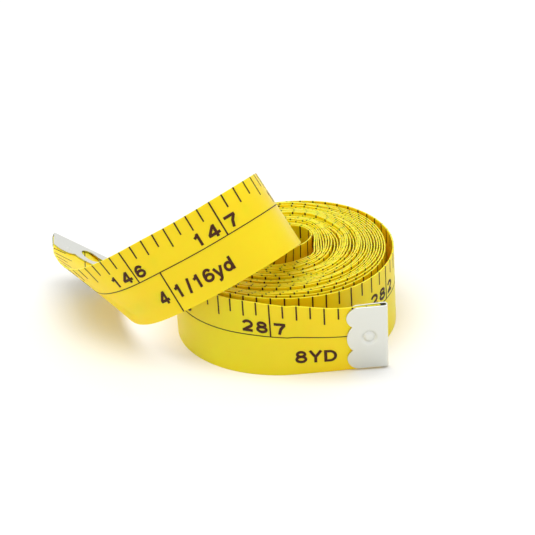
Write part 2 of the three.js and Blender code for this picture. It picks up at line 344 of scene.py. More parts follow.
def smooth_curve(points, steps):
    """Centripetal Catmull-Rom curve through points, with that many steps on each span"""
    points = np.array(points, float)
    first = 2 * points[0] - points[1]
    last = 2 * points[-1] - points[-2]
    padded = np.vstack((first, points, last))
    t = np.linspace(0, 1, steps, endpoint=False)[:, None]
    spans = []
    for p0, p1, p2, p3 in zip(padded, padded[1:], padded[2:], padded[3:]):
        d0, d1, d2 = (max(math.sqrt(math.dist(a, b)), 1e-4) for a, b in ((p0, p1), (p1, p2), (p2, p3)))
        out = ((p1 - p0) / d0 - (p2 - p0) / (d0 + d1) + (p2 - p1) / d1) * d1
        into = ((p2 - p1) / d1 - (p3 - p1) / (d1 + d2) + (p3 - p2) / d2) * d1
        cubic = 2 * p1 - 2 * p2 + out + into
        square = -3 * p1 + 3 * p2 - 2 * out - into
        spans.append(p1 + out * t + square * t**2 + cubic * t**3)
    return np.vstack((*spans, points[-1:]))


def hole_reach(angles, radius):
    """Distance from the roll's axis to a circle about the hole's centre"""
    offset = math.hypot(*HOLE_CENTRE) * MM
    away = angles - math.atan2(HOLE_CENTRE[1], HOLE_CENTRE[0])
    return offset * np.cos(away) + np.sqrt(radius**2 - (offset * np.sin(away)) ** 2)


def bulge(angles, way, spread):
    """1 in a direction round the roll, easing to 0 at the spread to either side of it"""
    away = (angles - way + math.pi) % TURN - math.pi
    return np.where(np.abs(away) < spread, np.cos(away / spread * math.pi / 2) ** 2, 0)


def wander(angles, round_scale, turn_scale, start):
    """Smooth noise that drifts round the roll and from turn to turn"""
    x = np.cos(angles) * round_scale
    y = np.sin(angles) * round_scale
    z = angles / TURN * turn_scale + start
    return np.array([noise.noise(Vector(place)) for place in zip(x, y, z)])


def spread_out(radii, pitch):
    """Radii of a spiral with each turn at least a pitch outside the turn before it, also where that slants"""
    for place in range(STEPS_PER_TURN, len(radii)):
        inside = place - STEPS_PER_TURN
        rise = (radii[inside + 1] - radii[max(inside - 1, 0)]) / 2
        slant = rise / (radii[inside] * TURN / STEPS_PER_TURN)
        radii[place] = max(radii[place], radii[inside] + pitch * math.hypot(1, slant))
    return radii


def kept_apart(radii, pitch):
    """Smooth radii of a spiral whose turns lie a pitch apart, with some room for the curl's end"""
    coming_round = np.arange(PASSING_STEPS)
    passing = radii[0] + PASSING_PITCHES * pitch - PASSING_SLANT * coming_round
    before_start = STEPS_PER_TURN - coming_round
    radii[before_start] = np.maximum(radii[before_start], passing)
    blur = np.array((1, 2, 3, 2, 1)) / 9
    apart = np.pad(spread_out(radii, pitch), 2, mode="reflect", reflect_type="odd")
    return spread_out(np.convolve(apart, blur, mode="valid"), pitch)


def roll_turns(sizes):
    """Angles and yard-edge points of the roll's turns, wound outwards, each clear of the turn inside it"""
    swept = TAIL_LEAVE + TURN * sizes.whole_turns - ROLL_START
    angles = ROLL_START + np.arange(0, swept, TURN / STEPS_PER_TURN)
    turned = (angles - ROLL_START) / TURN
    left = swept / TURN - turned
    share = turned * TURN / swept
    share = share + sizes.crowding * share * (1 - share)
    flat = sizes.flattening * bulge(angles, FLAT_WAY, FLAT_SPREAD)
    inner = hole_reach(angles, sizes.hole_radius + sizes.thickness / 2) - INNER_FLAT_SHARE * flat
    outer = sizes.roll_radius - sizes.thickness / 2 - flat

    round_from_right = (angles + math.pi) % TURN - math.pi
    slack = SLACK * smoothstep(round_from_right, *SLACK_RISE)
    slack = slack * (1 - smoothstep(round_from_right, *SLACK_FALL))
    next_slack = NEXT_SLACK * bulge(angles, NEXT_SLACK_WAY, NEXT_SLACK_SPREAD)
    packed = outer - LAST_TURN_GAP - slack - next_slack * smoothstep(left, *NEXT_TURN_START)
    radii = inner + (packed - inner) * share
    gape = bulge(angles, GAPE_WAY, GAPE_SPREAD) * np.clip(1 - turned / GAPE_TURNS, 0, 1)
    join = bulge(angles, JOIN_WAY, JOIN_SPREAD) * np.clip(1 - turned / JOIN_TURNS, 0, 1)
    radii = radii - sizes.gape * gape + sizes.join * join
    last = smoothstep(-left, *LAST_TURN_START)
    radii = radii + (outer - radii) * last

    # Loose turns lie in bunches of three or four, with wider gaps between the bunches
    settled = smoothstep(turned, 0, 0.8) * (1 - last)
    radii = radii + BUNCH_SPREAD * wander(angles, *BUNCH_NOISE) * settled
    radii = kept_apart(radii, sizes.thickness + TURN_GAP)

    # Bunches stand at different heights, so that the ticks of some turns show above their neighbours
    heights = 0.45 + 1.3 * wander(angles, *HEIGHT_NOISE) + 0.3 * wander(angles, *RIPPLE_NOISE)
    heights = BUNCH_HEIGHT * smoothstep(heights, 0, 1) * settled
    heights = heights + LIFT * bulge(angles, LIFT_WAY, LIFT_SPREAD) * last
    return angles, np.column_stack((radii * np.cos(angles), radii * np.sin(angles), heights))


def blurred(values, width):
    """Columns of values, each blurred over about that many rows"""
    spread = np.arange(-3 * width, 3 * width + 1)
    kernel = np.exp(-0.5 * (spread / width) ** 2)
    kernel /= kernel.sum()
    padded = np.pad(values, ((len(spread) // 2,) * 2, (0, 0)), mode="edge")
    return np.column_stack([np.convolve(column, kernel, mode="valid") for column in padded.T])


def fair(points, keep_start, keep_end, width):
    """Evens out small waves of a curve's middle, and leaves its ends where they are"""
    once = blurred(points, width)
    even = 2 * once - blurred(once, width)
    place = np.arange(len(points))
    weight = smoothstep(place, keep_start, keep_start + 4 * width)
    weight = weight * smoothstep(-place, -keep_end, -keep_end + 4 * width)
    return points + weight[:, None] * (even - points)


def tape_stations(sizes):
    """Yard-edge points and ways across of the whole route, from the inner end to the outer"""
    angles, turns = roll_turns(sizes)
    heading = unit(np.array(TIP_HEADING))
    feet = [np.array(foot) * MM for foot, rise in TIP_ROUTE]
    rises = [np.array(rise, float) for foot, rise in TIP_ROUTE]
    tip_rise = unit(rises[0] - heading * (rises[0] @ heading))
    feet.insert(0, feet[0] - heading * CLIP_FLAT)
    rises.insert(0, tip_rise)
    for degrees, inset, height, rise in CURL_ROUTE:
        turn = math.radians(degrees)
        reach = sizes.hole_radius - inset * MM
        centre = np.array((*HOLE_CENTRE, 0)) * MM
        feet.append(centre + np.array((reach * math.cos(turn), reach * math.sin(turn), height * MM)))
        rises.append(np.array(rise, float))
    feet += [turns[0], turns[3]]
    rises += [np.array((0, 0, 1.0))] * 2
    steps = STEPS_PER_ROUTE_POINT
    last_step = (len(feet) - 2) * steps
    inner_feet = smooth_curve(feet, steps)[:last_step]
    inner_rises = unit(smooth_curve(rises, steps)[:last_step])
    inner_feet[:steps] = np.linspace(feet[0], feet[1], steps, endpoint=False)
    inner_rises[:steps] = tip_rise
    curl_start = (len(TIP_ROUTE) + 1) * steps
    inner_feet = fair(inner_feet, steps, curl_start, steps // 2)
    inner_rises = unit(fair(inner_rises, steps, curl_start, steps // 2))

    outer = sizes.roll_radius - sizes.thickness / 2
    leave = np.array((math.cos(TAIL_LEAVE), math.sin(TAIL_LEAVE), 0))
    onward = np.array((-leave[1], leave[0], 0))
    out = np.linspace(0, sizes.tail, TAIL_STEPS)[:, None]
    tail_feet = leave * outer + onward * out
    feet = np.vstack((inner_feet, turns, tail_feet))
    outward = np.vstack((turns * (1, 1, 0), np.repeat(leave[None], len(tail_feet), axis=0)))
    outward = unit(outward)
    past = angles - (angles[-1] - TAIL_LEAVE + TAIL_START)
    along = np.concatenate((past * outer, (TAIL_LEAVE - TAIL_START) * outer + out[:, 0]))
    lean_length = (TAIL_LEAVE - TAIL_START) * outer + sizes.tail - CLIP_FLAT + LEAN_INTO_CLIP
    lean = sizes.tail_lean * smoothstep(along, 0, lean_length)[:, None]
    climb = sizes.tail_climb * smoothstep(along, lean_length - CLIMB_LENGTH, lean_length)[:, None]
    up = np.array((0, 0, 1))
    upright = up * np.cos(climb) - np.cross(up, outward) * np.sin(climb)
    rises = np.vstack((inner_rises, outward * np.sin(lean) + upright * np.cos(lean)))
    climbed = np.cumsum(np.gradient(along) * np.tan(climb[:, 0]))
    feet[len(inner_feet) :, 2] += sizes.thickness / 2 * np.sin(lean[:, 0]) + climbed
    return feet, rises


def tape_rulings(sizes):
    """Lines across the tape on its route: foot, vector per unit of width, face, flat lengths of both edges"""
    feet, rises = tape_stations(sizes)
    ahead = unit(np.gradient(feet, axis=0))
    facing = np.cross(ahead, rises)
    sine = np.linalg.norm(facing, axis=1, keepdims=True)
    across = rises / sine
    drift = np.sum(ahead * rises, axis=1) / sine[:, 0]
    # Small waves of the curl's slant would fold the print
    drift = np.where(np.arange(len(feet)) < FREE_STEPS, blurred(drift[:, None], DRIFT_BLUR)[:, 0], drift)
    # Lengths are true along one line of the free end, and along the inch edge of the roll and the outer end
    true_share = np.where(np.arange(len(feet)) < FREE_STEPS, FREE_TRUE_SHARE, 1.0)
    middle = lengths_along(feet + across * FREE_TRUE_SHARE * sizes.width)[:FREE_STEPS]
    edge = lengths_along((feet + across * sizes.width)[FREE_STEPS - 1 :])[1:]
    true_length = np.concatenate((middle, middle[-1] + edge))
    from_end = np.arange(len(feet)) - len(feet)
    true_length = true_length - PRINT_STRETCH * smoothstep(from_end, *STRETCH_STEPS)
    yard_edge = true_length - drift * true_share * sizes.width
    return feet, across, facing / sine, yard_edge, yard_edge + drift * sizes.width


def tape_ends(sizes):
    """Places of the two clips: matrices whose X leads out past the end and Z off the printed face"""
    feet, rises = tape_stations(sizes)
    places = []
    for end, way in ((0, -1), (-1, 1)):
        ahead = feet[1] - feet[0] if end == 0 else feet[-1] - feet[-2]
        rise = Vector(rises[end])
        face = Vector(ahead).cross(rise).normalized()
        out = rise.cross(face) * way
        middle = Vector(feet[end]) + rise * sizes.width / 2 + ROLL_AXIS
        basis = Matrix((out, face.cross(out), face)).transposed().to_4x4()
        places.append(Matrix.Translation(middle) @ basis)
    return places


def link(name, mesh):
    piece = bpy.data.objects.new(name, mesh)
    bpy.context.scene.collection.objects.link(piece)
    return piece


def route_surface(sizes):
    """A thin guide sheet along the route, with the flat tape as its UV and the way that the face looks"""
    feet, across, facing, yard_edge, inch_edge = tape_rulings(sizes)
    rows = []
    flat = []
    for share in (-ROUTE_OVERHANG, 1 + ROUTE_OVERHANG):
        rows.append(feet + across * share * sizes.width)
        flat.append(np.column_stack((yard_edge + (inch_edge - yard_edge) * share, np.full(len(feet), share))))
    points = np.stack(rows, axis=1).reshape(-1, 3) + np.array(ROLL_AXIS)
    flat = np.stack(flat, axis=1).reshape(-1, 2)
    flat[:, 0] /= inch_edge[-1]
    faces = [(2 * i, 2 * i + 2, 2 * i + 3, 2 * i + 1) for i in range(len(feet) - 1)]
    mesh = bpy.data.meshes.new("tape_route")
    mesh.from_pydata(points.tolist(), [], faces)
    uv = mesh.attributes.new("flat_share", "FLOAT_VECTOR", "POINT")
    uv.data.foreach_set("vector", np.column_stack((flat, np.zeros(len(flat)))).astype(np.float32).ravel())
    face = mesh.attributes.new("face", "FLOAT_VECTOR", "POINT")
    face.data.foreach_set("vector", np.repeat(facing, 2, axis=0).astype(np.float32).ravel())
    return link("tape_route", mesh)


def floats(*names):
    return [(name, "NodeSocketFloat") for name in names]


ROUTE_INPUTS = [("Route", "NodeSocketObject"), *floats("Length", "Width")]
PIECE_INPUTS = [*ROUTE_INPUTS, ("Finish", "NodeSocketMaterial")]


def tree_with(name, inputs):
    """A Geometry Nodes tree with a geometry and named inputs; returns it with its input and output nodes"""
    tree = bpy.data.node_groups.new(name, "GeometryNodeTree")
    for label, kind in (("Geometry", "NodeSocketGeometry"), *inputs):
        tree.interface.new_socket(label, in_out="INPUT", socket_type=kind)
    tree.interface.new_socket("Geometry", in_out="OUTPUT", socket_type="NodeSocketGeometry")
    given = add_node(tree, "NodeGroupInput").outputs
    result = add_node(tree, "NodeGroupOutput")
    return tree, given, result


def bend_tree():
    """Bends flat geometry along the route: X is length along the tape, Y is across it and Z off its face"""
    if "bend_along_route" in bpy.data.node_groups:
        return bpy.data.node_groups["bend_along_route"]
    tree, given, result = tree_with("bend_along_route", ROUTE_INPUTS)
    route = add_node(tree, "GeometryNodeObjectInfo", {"Object": given["Route"]})
    place = add_node(tree, "GeometryNodeInputPosition")
    parts = add_node(tree, "ShaderNodeSeparateXYZ", {0: place.outputs[0]})
    u = add_node(tree, "ShaderNodeMath", {0: parts.outputs["X"], 1: given["Length"]}, operation="DIVIDE")
    v = add_node(tree, "ShaderNodeMath", {0: parts.outputs["Y"], 1: given["Width"]}, operation="DIVIDE")
    flat = add_node(tree, "ShaderNodeCombineXYZ", {"X": u.outputs[0], "Y": v.outputs[0]})
    flat_share = add_node(
        tree, "GeometryNodeInputNamedAttribute", {"Name": "flat_share"}, data_type="FLOAT_VECTOR"
    )
    facing = add_node(tree, "GeometryNodeInputNamedAttribute", {"Name": "face"}, data_type="FLOAT_VECTOR")
    samples = []
    for value in (place.outputs[0], facing.outputs["Attribute"]):
        sample = add_node(
            tree,
            "GeometryNodeSampleUVSurface",
            {
                "Mesh": route.outputs["Geometry"],
                "Value": value,
                "UV Map": flat_share.outputs["Attribute"],
                "Sample UV": flat.outputs[0],
            },
            data_type="FLOAT_VECTOR",
        )
        samples.append(sample.outputs["Value"])
    facing = add_node(tree, "ShaderNodeVectorMath", {0: samples[1]}, operation="NORMALIZE")
    off = add_node(
        tree, "ShaderNodeVectorMath", {0: facing.outputs[0], "Scale": parts.outputs["Z"]}, operation="SCALE"
    )
    bent = add_node(tree, "ShaderNodeVectorMath", {0: samples[0], 1: off.outputs[0]}, operation="ADD")
    moved = add_node(
        tree, "GeometryNodeSetPosition", {"Geometry": given["Geometry"], "Position": bent.outputs[0]}
    )
    tree.links.new(moved.outputs[0], result.inputs[0])
    return tree


def bend_and_finish(tree, given, result, flat):
    """Ends a tree: bends the flat geometry, realizes it and sets its material"""
    inputs = {"Geometry": flat, **{name: given[name] for name, kind in ROUTE_INPUTS}}
    bent = add_node(tree, "GeometryNodeGroup", inputs, node_tree=bend_tree())
    real = add_node(tree, "GeometryNodeRealizeInstances", {"Geometry": bent.outputs[0]})
    finished = add_node(
        tree, "GeometryNodeSetMaterial", {"Geometry": real.outputs[0], "Material": given["Finish"]}
    )
    tree.links.new(finished.outputs[0], result.inputs[0])


def tick_tree():
    """A row of ticks over the inch edge, longer at each quarter, half and inch, bent along the route"""
    tree, given, result = tree_with(
        "tick_row",
        [
            *PIECE_INPUTS,
            ("Ticks", "NodeSocketInt"),
            *floats("First tick", "Tick step", "Tick width", "Tick depth"),
            *floats("Edge", "Eighth", "Quarter", "Half", "Inch"),
        ],
    )
    start = add_node(tree, "ShaderNodeCombineXYZ", {"X": given["First tick"], "Y": given["Edge"]})
    offset = add_node(tree, "ShaderNodeCombineXYZ", {"X": given["Tick step"]})
    row = add_node(
        tree,
        "GeometryNodeMeshLine",
        {"Count": given["Ticks"], "Start Location": start.outputs[0], "Offset": offset.outputs[0]},
    )
    index = add_node(tree, "GeometryNodeInputIndex")
    count = add_node(tree, "ShaderNodeMath", {0: index.outputs[0], 1: 1.0}, operation="ADD")
    reach = given["Eighth"]
    for every, name in ((2, "Quarter"), (4, "Half"), (8, "Inch")):
        rest = add_node(tree, "ShaderNodeMath", {0: count.outputs[0], 1: float(every)}, operation="MODULO")
        even = add_node(tree, "ShaderNodeMath", {0: rest.outputs[0], 1: 0.5}, operation="LESS_THAN")
        longer = add_node(
            tree, "ShaderNodeMix", {0: even.outputs[0], 2: reach, 3: given[name]}, data_type="FLOAT"
        )
        reach = longer.outputs[0]
    size = add_node(
        tree, "ShaderNodeCombineXYZ", {"X": given["Tick width"], "Y": reach, "Z": given["Tick depth"]}
    )
    block = add_node(tree, "GeometryNodeMeshCube")
    hung = add_node(
        tree, "GeometryNodeTransform", {"Geometry": block.outputs[0], "Translation": (0, -0.5, 0)}
    )
    ticks = add_node(
        tree,
        "GeometryNodeInstanceOnPoints",
        {"Points": row.outputs[0], "Instance": hung.outputs[0], "Scale": size.outputs[0]},
    )
    real = add_node(tree, "GeometryNodeRealizeInstances", {"Geometry": ticks.outputs[0]})
    bend_and_finish(tree, given, result, real.outputs[0])
    return tree


def mark_tree():
    """Flat geometry of the object's own mesh, bent along the route"""
    tree, given, result = tree_with("printed_marks", PIECE_INPUTS)
    bend_and_finish(tree, given, result, given["Geometry"])
    return tree


def figure_tree():
    """Flat pen strokes, given as lines, made as wide as a printed stroke and bent along the route"""
    inputs = [*PIECE_INPUTS, *floats("Stroke width", "Stroke depth")]
    tree, given, result = tree_with("printed_figures", inputs)
    pen = add_node(
        tree,
        "GeometryNodeCurvePrimitiveQuadrilateral",
        {"Width": given["Stroke width"], "Height": given["Stroke depth"]},
    )
    lines = add_node(tree, "GeometryNodeMeshToCurve", {"Mesh": given["Geometry"]})
    level = add_node(tree, "GeometryNodeSetCurveNormal", {"Curve": lines.outputs[0]}, mode="Z_UP")
    strokes = add_node(
        tree,
        "GeometryNodeCurveToMesh",
        {"Curve": level.outputs[0], "Profile Curve": pen.outputs[0], "Fill Caps": True},
    )
    bend_and_finish(tree, given, result, strokes.outputs[0])
    return tree


def grown(piece, tree, values):
    """Runs a tree on a piece with inputs set by their identifiers, and keeps the result as its plain mesh"""
    modifier = piece.modifiers.new("build", "NODES")
    modifier.node_group = tree
    for socket in tree.interface.items_tree:
        if socket.in_out == "INPUT" and socket.name in values:
            modifier[socket.identifier] = values[socket.name]
    return made_plain(piece)


def made_plain(piece):
    """Swaps a piece's mesh for what its modifiers make, and removes them"""
    bpy.context.view_layer.update()
    seen = piece.evaluated_get(bpy.context.evaluated_depsgraph_get())
    mesh = bpy.data.meshes.new_from_object(seen)
    mesh.name = piece.name
    piece.modifiers.clear()
    piece.data = mesh
    return piece


def outward(mesh):
    """Turns all faces of a closed mesh outwards"""
    shape = bmesh.new()
    shape.from_mesh(mesh)
    bmesh.ops.recalc_face_normals(shape, faces=shape.faces)
    shape.to_mesh(mesh)
    shape.free()


def new_material(name):
    material = bpy.data.materials.new(name)
    material.use_nodes = True
    tree = material.node_tree
    shader = tree.nodes["Principled BSDF"]
    return material, tree, shader


def mottle(tree, place, size, detail):
    """Noise with patches of about that size"""
    made = add_node(tree, "ShaderNodeTexNoise", {"Vector": place, "Scale": 1 / size, "Detail": detail})
    return made.outputs["Fac"]


def vinyl_tape_material(colours, sizes):
    """Vinyl-coated woven glass fibre: a smooth semi-gloss skin that lets the weave show faintly"""
    material, tree, shader = new_material("vinyl_coated_glass_fibre_tape")
    flat = add_node(tree, "ShaderNodeUVMap", uv_map="flat_tape")
    # Coating thickness drifts over some 9 mm
    drift = mottle(tree, flat.outputs[0], 9 * MM, 3.0)
    shade = add_node(
        tree,
        "ShaderNodeMix",
        {0: drift, 6: linear(colours.vinyl), 7: linear(colours.vinyl_shade)},
        data_type="RGBA",
    )
    parts = add_node(tree, "ShaderNodeSeparateXYZ", {0: flat.outputs[0]})
    # Painted highlight: the inch edge, which faces up to the overhead light, takes a lighter colour, partly
    # for its paler cut fibres
    at_lit_inch_edge = add_node(
        tree, "ShaderNodeMath", {0: parts.outputs["Y"], 1: sizes.width - 0.02 * MM}, operation="GREATER_THAN"
    )
    coloured = add_node(
        tree,
        "ShaderNodeMix",
        {0: at_lit_inch_edge.outputs[0], 6: shade.outputs[2], 7: linear(colours.cut_edge)},
        data_type="RGBA",
    )
    # Weft threads lie 0.25 mm apart; drawn at 0.5 mm so that they show
    weft = add_node(
        tree,
        "ShaderNodeTexWave",
        {"Vector": flat.outputs[0], "Scale": 1 / (0.5 * MM) / 20, "Distortion": 0.6, "Detail": 1.0},
        bands_direction="X",
    )
    ridges = add_node(
        tree, "ShaderNodeBump", {"Strength": 0.08, "Distance": 0.02 * MM, "Height": weft.outputs["Fac"]}
    )
    feed(shader, {"Base Color": coloured.outputs[2], "Normal": ridges.outputs[0]})
    feed(shader, {"Roughness": 0.42, "IOR": 1.52, "Specular IOR Level": 0.3})
    # Light soaks through the thin sheet, red furthest: gaps between the turns glow orange
    feed(shader, {"Subsurface Weight": 0.85, "Subsurface Scale": 1.0 * MM})
    feed(shader, {"Subsurface Radius": (1.0, 0.55, 0.1)})
    return material


def ink_material(colours):
    """Solvent printing ink on vinyl: dark brown-black, flat, a little duller than the tape"""
    material, tree, shader = new_material("printed_scale_ink")
    place = add_node(tree, "ShaderNodeTexCoord")
    # Thin spots of the print, about 0.6 mm
    spots = mottle(tree, place.outputs["Object"], 0.6 * MM, 2.0)
    ramp = add_node(tree, "ShaderNodeValToRGB", {"Fac": spots})
    ramp.color_ramp.elements[0].color = linear(colours.ink)
    ramp.color_ramp.elements[1].color = linear(colours.ink_thin)
    feed(shader, {"Base Color": ramp.outputs["Color"], "Roughness": 0.5, "Specular IOR Level": 0.2})
    return material


def tinplate_material(colours):
    """Pressed tinplate: a pale satin metal with soft drawing marks and small dull patches"""
    material, tree, shader = new_material("pressed_tinplate")
    place = add_node(tree, "ShaderNodeTexCoord")
    patches = mottle(tree, place.outputs["Object"], 2.5 * MM, 4.0)
    dull = add_node(tree, "ShaderNodeMapRange", {"Value": patches, "To Min": 0.3, "To Max": 0.48})
    grain = mottle(tree, place.outputs["Object"], 0.35 * MM, 2.0)
    bump = add_node(tree, "ShaderNodeBump", {"Strength": 0.05, "Distance": 0.02 * MM, "Height": grain})
    feed(shader, {"Roughness": dull.outputs[0], "Normal": bump.outputs[0]})
    feed(shader, {"Base Color": linear(colours.tinplate), "Metallic": 1.0})
    return material


def seen_directly(tree):
    """1 where the eye, a reflection or a see-through surface meets the background, else 0"""
    path = add_node(tree, "ShaderNodeLightPath").outputs
    seen = path["Is Camera Ray"]
    for name in ("Is Glossy Ray", "Is Transmission Ray"):
        either = add_node(tree, "ShaderNodeMath", {0: seen, 1: path[name]}, operation="MAXIMUM")
        seen = either.outputs[0]
    return seen


def floor_material(colours):
    """White studio board, matt: no reflection, white where the light is full"""
    material, tree, shader = new_material("white_studio_board")
    feed(shader, {"Base Color": linear(colours.floor), "Roughness": 0.9, "Specular IOR Level": 0.0})
    return material


def material_of(name, make, *given):
    """The named material, made on first use"""
    return bpy.data.materials.get(name) or make(*given)


def route_values(sizes, finish):
    """Values that every tree on the route takes"""
    route = bpy.data.objects.get("tape_route") or route_surface(sizes)
    return {"Route": route, "Length": tape_length(sizes), "Width": sizes.width, "Finish": finish}


def tape_length(sizes):
    return float(tape_rulings(sizes)[4][-1])


def inch_place(inch, length):
    """Length along the tape at a mark of the printed face"""
    return (inch - CUT_INCH) / (LAST_INCH - CUT_INCH) * length


def flat_bar(shape, cuts, section):
    """Adds a flat closed bar: a ring of (across, off the face) points at each cut along the tape"""
    rings = [[shape.verts.new((x, y, z)) for y, z in section] for x in cuts]
    for here, there in zip(rings, rings[1:]):
        for side in range(len(section)):
            other = (side + 1) % len(section)
            shape.faces.new((here[side], there[side], there[other], here[other]))
    shape.faces.new(rings[0])
    shape.faces.new(rings[-1][::-1])


def bar_section(low, high, bottom, top):
    return [(low, bottom), (low, top), (high, top), (high, bottom)]


def tape_section(sizes):
    """Outline of the tape seen end on, with softened corners and enough points across to twist"""
    half = sizes.thickness / 2
    soft = sizes.corner
    across = np.linspace(soft, sizes.width - soft, 7).tolist()
    front = [(y, half) for y in across]
    back = [(y, -half) for y in reversed(across)]
    inch_edge = [(sizes.width, half - soft), (sizes.width, soft - half)]
    yard_edge = [(0.0, soft - half), (0.0, half - soft)]
    return front + inch_edge + back + yard_edge


def tape_cuts(sizes):
    """Lengths at which the tape's mesh has a ring: every step of the roll, every other on the free end"""
    # Known fault: the guide's first line is skewed, so the first ring's yard half lies up to 0.03 mm
    # before it, and the eight points there go to the origin
    along = np.mean(tape_rulings(sizes)[3:], axis=0)
    return [*along[:FREE_STEPS:2].tolist(), *along[FREE_STEPS:].tolist()]


def cuts_between(low, high, cuts):
    return [low, *(x for x in cuts if low < x < high), high]


def flat_object(name, shape):
    """A new object with a flat shape as its mesh"""
    mesh = bpy.data.meshes.new(name)
    shape.to_mesh(mesh)
    shape.free()
    return link(name, mesh)


def print_setup(context):
    """Sizes of the tape and of its scale, and the values that the trees of the print take"""
    sizes = context.scene.tape_sizes
    finish = material_of("printed_scale_ink", ink_material, context.scene.finish_colours)
    return sizes, context.scene.scale_sizes, route_values(sizes, finish)


def printed(piece, tree, values):
    """Bends a flat print onto the tape"""
    grown(piece, tree, values)
    outward(piece.data)
    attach(piece, "root")


class TAPE_OT_wind(bpy.types.Operator):
    """Cuts the flat tape and winds it along its route"""

    bl_idname = "tape_measure.wind"
    bl_label = "Wind the tape"

    def execute(self, context):
        sizes = context.scene.tape_sizes
        finish = material_of(
            "vinyl_coated_glass_fibre_tape", vinyl_tape_material, context.scene.finish_colours, sizes
        )
        shape = bmesh.new()
        flat_bar(shape, tape_cuts(sizes), tape_section(sizes))
        flat_map = shape.loops.layers.uv.new("flat_tape")
        for face in shape.faces:
            for corner in face.loops:
                corner[flat_map].uv = corner.vert.co.xy
        tape = flat_object("tape", shape)
        grown(tape, mark_tree(), route_values(sizes, finish))
        outward(tape.data)
        tape.data.shade_smooth()
        tape.data.set_sharp_from_angle(angle=math.radians(35))
        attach(tape, "root")
        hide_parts("tape_roll", "tape_outer_end", "tape_inner_end")
        return {"FINISHED"}


class TAPE_OT_print_ticks(bpy.types.Operator):
    """Prints the ticks of both faces"""

    bl_idname = "tape_measure.print_ticks"
    bl_label = "Print the ticks"

    def execute(self, context):
        sizes, scale, values = print_setup(context)
        ticks = link("tape_ticks", bpy.data.meshes.new("tape_ticks"))
        per_inch = 8
        count = (LAST_INCH - FIRST_INCH) * per_inch
        length = values["Length"]
        values["Ticks"] = count - 1
        values["First tick"] = inch_place(FIRST_INCH + 1 / per_inch, length)
        values["Tick step"] = inch_place(CUT_INCH + 1 / per_inch, length)
        values["Tick width"] = scale.tick
        values["Tick depth"] = sizes.thickness + 2 * scale.ink
        values["Edge"] = sizes.width - TICK_CORNER_SHARE * sizes.corner
        for name, share in zip(
            ("Eighth", "Quarter", "Half", "Inch"), (scale.eighth, scale.quarter, scale.half, scale.centre)
        ):
            values[name] = share * sizes.width
        printed(ticks, tick_tree(), values)
        return {"FINISHED"}


def yard_marks(side):
    """Yard marks of one face on the stretches that can be seen, in inches of the printed face"""
    marks = []
    for count in range(1, round((LAST_INCH - FIRST_INCH) / YARD_STEP)):
        inch = FIRST_INCH + count * YARD_STEP
        seen = inch < FIRST_INCH + SEEN_INCHES or inch > LAST_INCH - SEEN_INCHES
        if seen and not (side == 1 and inch in BARE_MARKS):
            marks.append(inch)
    return marks


class TAPE_OT_print_lines(bpy.types.Operator):
    """Prints the centre lines and the yard lines"""

    bl_idname = "tape_measure.print_lines"
    bl_label = "Print the lines"

    def execute(self, context):
        sizes, scale, values = print_setup(context)
        length = values["Length"]
        cuts = tape_cuts(sizes)
        centre = sizes.width * (1 - scale.centre)
        shape = bmesh.new()
        for side in (1, -1):
            bottom = side * sizes.thickness / 2 - scale.ink
            top = side * sizes.thickness / 2 + scale.ink
            section = bar_section(centre - scale.line / 2, centre + scale.line / 2, bottom, top)
            flat_bar(shape, cuts_between(LINE_INSET, length - LINE_INSET, cuts), section)
            section = bar_section(YARD_LINE_INSET, centre, bottom, top)
            for inch in yard_marks(side):
                x = inch_place(inch, length)
                flat_bar(shape, cuts_between(x - scale.tick / 2, x + scale.tick / 2, cuts), section)
        lines = flat_object("tape_lines", shape)
        printed(lines, mark_tree(), values)
        return {"FINISHED"}


def arc(x, y, wide, tall, start, end):
    """Points of a pen arc about (x, y), between two angles in degrees"""
    count = max(4, round(abs(end - start) / 15))
    turns = np.radians(np.linspace(start, end, count + 1))
    return [(x + wide * math.cos(turn), y + tall * math.sin(turn)) for turn in turns]


# Pen strokes of a plain wide alphabet: its capitals are 1 high, with the pen's middle 0.1 inside
FIGURE_STROKES = {
    "0": [arc(0.45, 0.5, 0.35, 0.4, 0, 360)],
    "1": [[(0.42, 0), (0.42, 1)], [(0.4, 0.9), (0.28, 0.77), (0.08, 0.7)]],
    "2": [[*arc(0.45, 0.64, 0.33, 0.26, 170, -35), (0.16, 0.12)], [(0.03, 0.1), (0.85, 0.1)]],
    "3": [arc(0.43, 0.71, 0.3, 0.19, 160, -90), arc(0.43, 0.31, 0.35, 0.21, 90, -160)],
    "4": [[(0.7, 0), (0.7, 1)], [(0.02, 0.29), (1.02, 0.29)], [(0.68, 0.93), (0.1, 0.32)]],
    "5": [[(0.82, 0.9), (0.2, 0.9), (0.14, 0.48)], arc(0.43, 0.34, 0.36, 0.24, 145, -155)],
    "6": [arc(0.46, 0.33, 0.34, 0.23, 0, 360), arc(0.47, 0.5, 0.35, 0.4, 35, 205)],
    "7": [[(0.02, 0.9), (0.92, 0.9)], [(0.84, 0.86), (0.56, 0.5), (0.42, 0)]],
    "8": [arc(0.45, 0.715, 0.29, 0.185, 0, 360), arc(0.45, 0.31, 0.35, 0.21, 0, 360)],
    "9": [arc(0.46, 0.67, 0.34, 0.23, 0, 360), arc(0.45, 0.5, 0.35, 0.4, 215, 385)],
    "/": [[(0, -0.06), (0.24, 1.04)]],
    "y": [[(0.06, 0.74), (0.4, 0.06)], [(0.74, 0.74), (0.38, -0.1), (0.26, -0.2), (0.1, -0.2)]],
    "d": [arc(0.4, 0.37, 0.3, 0.27, 0, 360), [(0.74, 0), (0.74, 1)]],
    "Y": [[(0.08, 1), (0.5, 0.45), (0.92, 1)], [(0.5, 0.5), (0.5, 0)]],
    "D": [[(0.12, 0), (0.12, 1)], [(0.12, 0.9), *arc(0.44, 0.5, 0.4, 0.4, 90, -90), (0.12, 0.1)]],
}
# Pairs of letters that stand closer or wider than the rest, in parts of the height
PAIR_SPACING = {"1/": 0.32, "16": 0.125, "6y": -0.17, "yd": -0.15}


